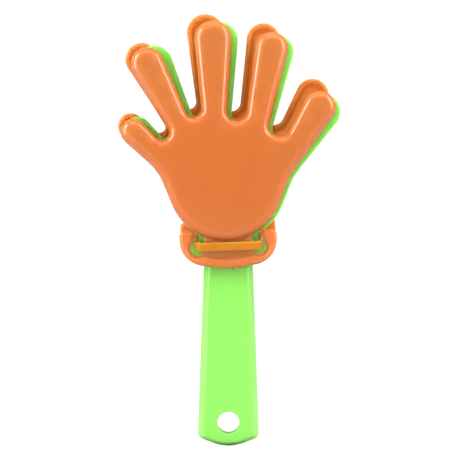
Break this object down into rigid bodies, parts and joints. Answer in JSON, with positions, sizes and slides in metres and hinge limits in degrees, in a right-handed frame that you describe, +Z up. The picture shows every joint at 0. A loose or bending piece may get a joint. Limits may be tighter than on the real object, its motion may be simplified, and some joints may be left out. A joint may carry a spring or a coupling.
{
  "type": "hand clapper",
  "caption": "Noisemaker: a flat hand on a hollow-backed handle, between hollow hands that flap on a loose loop at the wrist and clap against it when it is shaken.",
  "frame": {"origin": "centre of the hang hole, at the middle of the handle's thickness", "axes": "-Y toward the front, where the thumb is on the left; +X to the right of that view; +Z up the handle toward the fingers"},
  "size_m": [0.0979, 0.0264, 0.1913],
  "materials": {
    "green_plastic": "satin moulded polypropylene, pale apple green",
    "orange_plastic": "glossy moulded polypropylene, orange",
    "loop_plastic": "satin flexible moulded plastic, yellower orange"
  },
  "bodies": {
    "base": {"centre_hand": "green_plastic"},
    "front": {"front_hand": "orange_plastic"},
    "rear": {"rear_hand": "orange_plastic"},
    "loop": {"hinge_loop": "loop_plastic"}
  },
  "joints": [
    {"name": "front_flap", "type": "hinge", "parent": "base", "child": "front", "pos_m": [0, -0.0102, 0.0773], "axis": [0.9996, 0, 0.0297], "range_deg": [0, 22]},
    {"name": "rear_flap", "type": "hinge", "parent": "base", "child": "rear", "pos_m": [0, 0.0102, 0.082], "axis": [-0.9996, 0, -0.0297], "range_deg": [-1, 20]},
    {"name": "loop_shift", "type": "slide", "parent": "base", "child": "loop", "axis": [1, 0, 0], "range_m": [-0.0002, 0.0002]}
  ]
}
